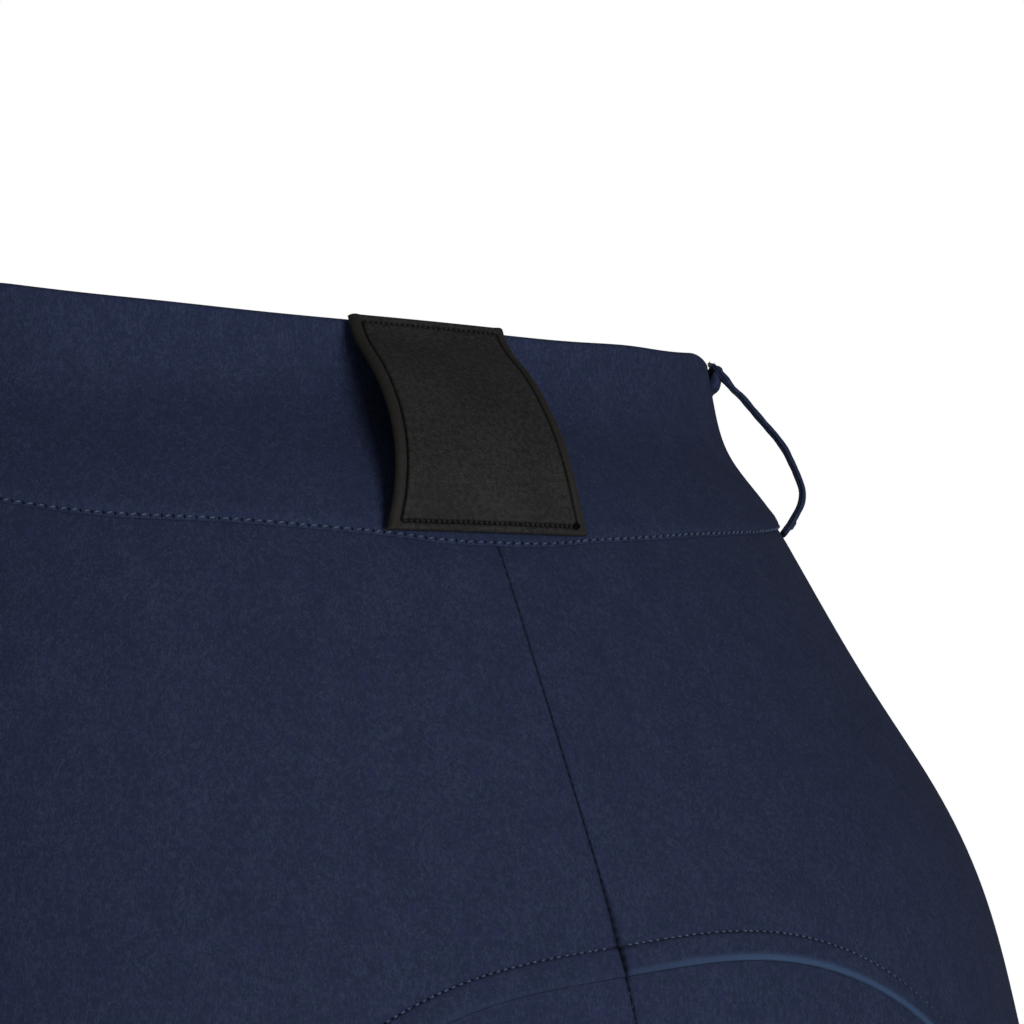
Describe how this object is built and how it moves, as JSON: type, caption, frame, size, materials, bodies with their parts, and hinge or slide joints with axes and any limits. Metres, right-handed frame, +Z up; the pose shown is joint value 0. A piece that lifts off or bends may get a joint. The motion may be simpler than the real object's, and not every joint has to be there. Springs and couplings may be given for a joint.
{
  "type": "riding breeches",
  "caption": "Full-length riding breeches in the hollow form they keep when worn, with a wide waistband, belt loops, a leather label loop and ankle cuffs.",
  "frame": {"origin": "middle of the waist opening, where the wearer's waist holds the garment up", "axes": "+Z up out of the waist opening, -Y to the front of the garment, +X to the wearer's left"},
  "size_m": [0.3565, 0.2681, 0.9991],
  "materials": {
    "cloth": "dense navy stretch twill, matt",
    "band_cloth": "the same navy twill, doubled",
    "cuff_cloth": "thin navy stretch jersey, matt",
    "leather": "black matt grained leather",
    "metal": "dark brushed metal"
  },
  "bodies": {
    "root": {"waistband": "band_cloth", "front_left": "cloth", "front_right": "cloth", "back_left": "cloth", "back_right": "cloth", "seat_left": "cloth", "seat_right": "cloth", "cuff_left": "cuff_cloth", "cuff_right": "cuff_cloth", "label_backing": "band_cloth", "label_leather": "leather", "loop_back_left": "band_cloth", "loop_back_right": "band_cloth", "loop_front_left": "band_cloth", "loop_front_right": "band_cloth", "fly_flap": "cloth", "waist_button": "metal"}
  },
  "joints": []
}
